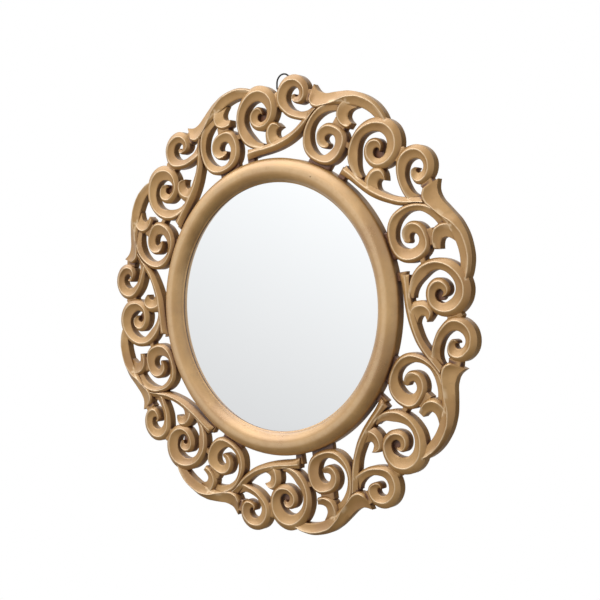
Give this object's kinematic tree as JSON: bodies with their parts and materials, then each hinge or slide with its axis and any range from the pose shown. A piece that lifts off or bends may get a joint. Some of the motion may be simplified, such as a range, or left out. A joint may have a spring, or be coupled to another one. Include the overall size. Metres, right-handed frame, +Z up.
{
  "type": "convex wall mirror",
  "caption": "Round domed wall mirror in a half-round ring with openwork carved scroll panels; the backing is held by turn buttons and the frame hangs from a swinging wire ring.",
  "frame": {"origin": "middle of the flat back, on the mirror's axis", "axes": "+Z up, -Y to the front, +X to the viewer's right"},
  "size_m": [0.594, 0.0266, 0.6001],
  "materials": {
    "gilded_wood": "satin antique gold paint, rubbed light on the edges and dark in the cuts",
    "mirror_glass": "silvered polished glass",
    "backing_board": "bare brown hardboard",
    "zinc_steel": "zinc plated",
    "black_wire": "black lacquer, rubbed bright at the crown",
    "bumper_rubber": "matte"
  },
  "bodies": {
    "frame": {"ring_moulding": "gilded_wood", "carved_panel_1": "gilded_wood", "carved_panel_2": "gilded_wood", "carved_panel_3": "gilded_wood", "carved_panel_4": "gilded_wood", "carved_panel_5": "gilded_wood", "carved_panel_6": "gilded_wood", "carved_panel_7": "gilded_wood", "carved_panel_8": "gilded_wood", "mirror_glass": "mirror_glass", "backing_board": "backing_board", "turn_button_screws": "zinc_steel", "hanger_strap": "zinc_steel", "hanger_strap_screws": "zinc_steel", "wall_bumper_left": "bumper_rubber", "wall_bumper_right": "bumper_rubber"},
    "turn_button_1": {"turn_button_1": "zinc_steel"},
    "turn_button_2": {"turn_button_2": "zinc_steel"},
    "turn_button_3": {"turn_button_3": "zinc_steel"},
    "turn_button_4": {"turn_button_4": "zinc_steel"},
    "turn_button_5": {"turn_button_5": "zinc_steel"},
    "turn_button_6": {"turn_button_6": "zinc_steel"},
    "hanger_loop": {"hanger_ring": "black_wire"}
  },
  "joints": [
    {"name": "turn_button_1_turn", "type": "hinge", "parent": "frame", "child": "turn_button_1", "pos_m": [0, 0.0008, 0.1815], "axis": [0, 1, 0], "continuous": true},
    {"name": "turn_button_2_turn", "type": "hinge", "parent": "frame", "child": "turn_button_2", "pos_m": [0.15718, 0.0008, 0.09075], "axis": [0, 1, 0], "continuous": true},
    {"name": "turn_button_3_turn", "type": "hinge", "parent": "frame", "child": "turn_button_3", "pos_m": [0.15718, 0.0008, -0.09075], "axis": [0, 1, 0], "continuous": true},
    {"name": "turn_button_4_turn", "type": "hinge", "parent": "frame", "child": "turn_button_4", "pos_m": [0, 0.0008, -0.1815], "axis": [0, 1, 0], "continuous": true},
    {"name": "turn_button_5_turn", "type": "hinge", "parent": "frame", "child": "turn_button_5", "pos_m": [-0.15718, 0.0008, -0.09075], "axis": [0, 1, 0], "continuous": true},
    {"name": "turn_button_6_turn", "type": "hinge", "parent": "frame", "child": "turn_button_6", "pos_m": [-0.15718, 0.0008, 0.09075], "axis": [0, 1, 0], "continuous": true},
    {"name": "hanger_ring_swing", "type": "hinge", "parent": "frame", "child": "hanger_loop", "pos_m": [0.0064, 0.00216, 0.2825], "axis": [-1, 0, 0], "range_deg": [0, 170]}
  ]
}
